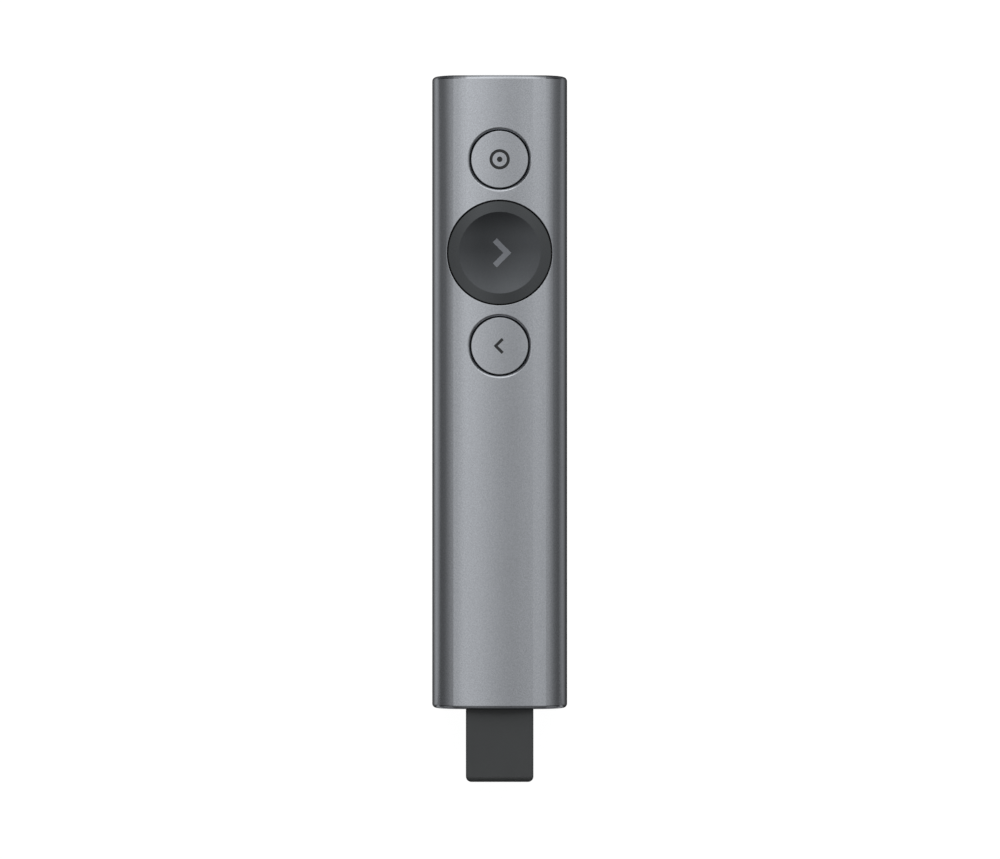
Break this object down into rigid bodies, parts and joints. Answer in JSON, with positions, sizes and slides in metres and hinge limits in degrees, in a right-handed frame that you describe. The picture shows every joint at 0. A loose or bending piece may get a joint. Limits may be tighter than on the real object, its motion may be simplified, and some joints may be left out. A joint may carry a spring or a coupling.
{
  "type": "wireless presentation clicker",
  "caption": "Slim grey metal presentation remote with round pointer, next and back buttons on its face and a USB receiver whose dark tab sticks out of the tail.",
  "frame": {"origin": "centre of the flat back face, at the middle of the body's length", "axes": "+Z out of the button side, +Y along the body towards the nose, +X to the right seen from the button side with the nose up"},
  "size_m": [0.0282, 0.1465, 0.0121],
  "materials": {
    "tube_housing": "bead-blasted, space-grey anodised",
    "nose_cap": "fine matte texture",
    "tail_cap": "fine matte texture",
    "chassis": "glass-filled nylon, as moulded",
    "main_board": "solder-masked laminate",
    "main_chips": "moulded epoxy",
    "shield_can": "tinned, satin",
    "board_passives": "fired ceramic",
    "chip_antenna": "fired ceramic",
    "tact_switches": "as moulded",
    "keymat": "translucent grey silicone",
    "button_frame": "as moulded",
    "stack_screws": "zinc-plated",
    "battery_foam": "closed-cell foam",
    "battery_cell": "laminated foil pouch",
    "battery_leads": "silicone insulation",
    "battery_plug": "natural nylon",
    "battery_socket": "natural nylon",
    "vibration_motor": "drawn steel can",
    "motor_boot": "matte",
    "motor_shaft": "ground",
    "motor_weight": "sintered tungsten alloy, satin",
    "motor_leads": "silicone insulation",
    "charge_board": "solder-masked laminate",
    "charge_board_parts": "moulded epoxy",
    "charge_board_screws": "zinc-plated",
    "usb_c_shell": "nickel-plated",
    "usb_c_tongue": "as moulded",
    "board_flex": "polyimide film",
    "dock_sleeve": "nickel-plated",
    "dock_springs": "spring steel",
    "dock_screws": "zinc-plated",
    "receiver_plug_shell": "nickel-plated",
    "receiver_insulator": "as moulded",
    "receiver_contacts": "gold-plated",
    "receiver_board": "solder-masked laminate",
    "receiver_chip": "moulded epoxy",
    "receiver_grip": "fine soft-touch texture",
    "pointer_cap": "bead-blasted, anodised",
    "pointer_icon": "flush inlay",
    "pointer_carrier": "as moulded",
    "pointer_key_post": "translucent grey silicone",
    "pointer_plunger": "as moulded",
    "pointer_dome": "spring steel",
    "next_cap": "bead-blasted, dark anodised",
    "next_icon": "flush inlay",
    "next_carrier": "as moulded",
    "next_key_post": "translucent grey silicone",
    "next_plunger": "as moulded",
    "next_dome": "spring steel",
    "back_cap": "bead-blasted, anodised",
    "back_icon": "flush inlay",
    "back_carrier": "as moulded",
    "back_key_post": "translucent grey silicone",
    "back_plunger": "as moulded",
    "back_dome": "spring steel"
  },
  "bodies": {
    "housing": {"tube_housing": "tube_housing", "nose_cap": "nose_cap", "tail_cap": "tail_cap", "chassis": "chassis", "main_board": "main_board", "main_chips": "main_chips", "shield_can": "shield_can", "board_passives": "board_passives", "chip_antenna": "chip_antenna", "tact_switches": "tact_switches", "keymat": "keymat", "button_frame": "button_frame", "stack_screws": "stack_screws", "battery_foam": "battery_foam", "battery_cell": "battery_cell", "battery_leads": "battery_leads", "battery_plug": "battery_plug", "battery_socket": "battery_socket", "vibration_motor": "vibration_motor", "motor_boot": "motor_boot", "motor_leads": "motor_leads", "charge_board": "charge_board", "charge_board_parts": "charge_board_parts", "charge_board_screws": "charge_board_screws", "usb_c_shell": "usb_c_shell", "usb_c_tongue": "usb_c_tongue", "board_flex": "board_flex", "dock_sleeve": "dock_sleeve", "dock_springs": "dock_springs", "dock_screws": "dock_screws", "pointer_dome": "pointer_dome", "next_dome": "next_dome", "back_dome": "back_dome"},
    "pointer_button": {"pointer_cap": "pointer_cap", "pointer_icon": "pointer_icon", "pointer_carrier": "pointer_carrier", "pointer_key_post": "pointer_key_post", "pointer_plunger": "pointer_plunger"},
    "next_button": {"next_cap": "next_cap", "next_icon": "next_icon", "next_carrier": "next_carrier", "next_key_post": "next_key_post", "next_plunger": "next_plunger"},
    "back_button": {"back_cap": "back_cap", "back_icon": "back_icon", "back_carrier": "back_carrier", "back_key_post": "back_key_post", "back_plunger": "back_plunger"},
    "receiver": {"receiver_grip": "receiver_grip", "receiver_plug_shell": "receiver_plug_shell", "receiver_insulator": "receiver_insulator", "receiver_contacts": "receiver_contacts", "receiver_board": "receiver_board", "receiver_chip": "receiver_chip"},
    "motor_rotor": {"motor_shaft": "motor_shaft", "motor_weight": "motor_weight"}
  },
  "joints": [
    {"name": "pointer_press", "type": "slide", "parent": "housing", "child": "pointer_button", "axis": [0, 0, -1], "range_m": [0, 0.00035], "stiffness_N_per_m": 3000, "springref_m": -0.0001, "deforming": ["pointer_dome"]},
    {"name": "next_press", "type": "slide", "parent": "housing", "child": "next_button", "axis": [0, 0, -1], "range_m": [0, 0.00035], "stiffness_N_per_m": 3000, "springref_m": -0.0001, "deforming": ["next_dome"]},
    {"name": "back_press", "type": "slide", "parent": "housing", "child": "back_button", "axis": [0, 0, -1], "range_m": [0, 0.00035], "stiffness_N_per_m": 3000, "springref_m": -0.0001, "deforming": ["back_dome"]},
    {"name": "receiver_slide", "type": "slide", "parent": "housing", "child": "receiver", "axis": [0, -1, 0], "range_m": [0, 0.03]},
    {"name": "motor_spin", "type": "hinge", "parent": "housing", "child": "motor_rotor", "pos_m": [0, -0.0064, 0.0054], "axis": [0, 1, 0], "continuous": true}
  ]
}
